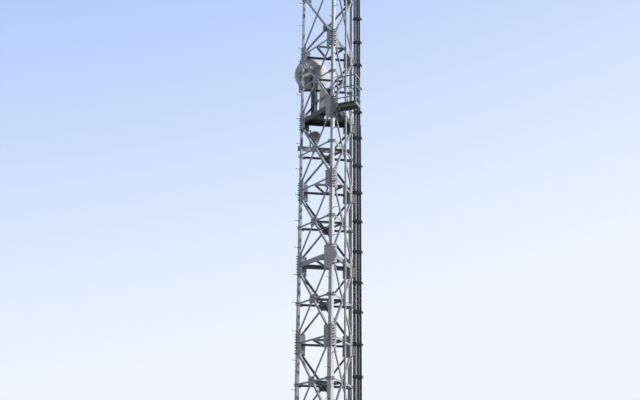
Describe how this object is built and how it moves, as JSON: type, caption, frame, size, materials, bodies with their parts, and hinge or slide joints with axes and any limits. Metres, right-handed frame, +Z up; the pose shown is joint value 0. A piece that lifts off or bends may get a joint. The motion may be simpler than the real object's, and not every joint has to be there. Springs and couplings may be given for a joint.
{
  "type": "cell tower",
  "caption": "Three-legged galvanised lattice mast with climbing steps, guarded platform, cable ladder and drum dishes; stands on bolted foot plates.",
  "frame": {"origin": "middle of the near leg's base plate, on its underside", "axes": "+Z up; the back face lies along X; +Y runs from the near leg towards the back face"},
  "size_m": [2.3291, 3.1346, 15.45],
  "materials": {
    "leg_steel": "dull galvanised",
    "bracing_steel": "dull galvanised",
    "plate_steel": "dull galvanised",
    "step_steel": "dull galvanised",
    "ladder_steel": "dull galvanised",
    "cable_black": "satin, smooth jacket",
    "clamp_black": "matt",
    "deck_steel": "galvanised chequer plate",
    "dish_paint": "matt off-white paint",
    "radome_fabric": "matt off-white",
    "unit_paint": "satin light grey paint",
    "cabinet_paint": "satin brownish grey paint"
  },
  "bodies": {
    "root": {"near_leg": "leg_steel", "right_leg": "leg_steel", "left_leg": "leg_steel", "base_plates": "plate_steel", "base_ribs": "plate_steel", "leg_gussets": "plate_steel", "leg_tabs": "plate_steel", "left_bracing": "bracing_steel", "right_bracing": "bracing_steel", "back_bracing": "bracing_steel", "crossing_plates": "plate_steel", "node_covers": "plate_steel", "plan_bracing": "bracing_steel", "left_step_bolts": "step_steel", "near_step_bolts": "step_steel", "cable_ladder_rails": "ladder_steel", "cable_ladder_bars": "ladder_steel", "cable_ladder_arms": "ladder_steel", "feeder_cables": "cable_black", "cable_clamps": "clamp_black", "climbing_rail": "step_steel", "climbing_rail_blocks": "plate_steel", "platform_deck": "deck_steel", "landing_frame": "ladder_steel", "landing_floor": "deck_steel", "guard_posts": "step_steel", "guard_rails": "step_steel", "large_dish_reflector": "dish_paint", "large_dish_shroud": "dish_paint", "large_dish_radome": "radome_fabric", "large_dish_hub": "plate_steel", "large_dish_pole": "step_steel", "large_dish_arms": "plate_steel", "radio_pole": "step_steel", "radio_plate": "plate_steel", "radio_unit": "unit_paint", "radio_cables": "cable_black", "cabinet": "cabinet_paint", "antenna_beam": "bracing_steel", "small_dish_pole": "step_steel", "small_dish_mount": "plate_steel", "small_dish": "dish_paint"}
  },
  "joints": []
}
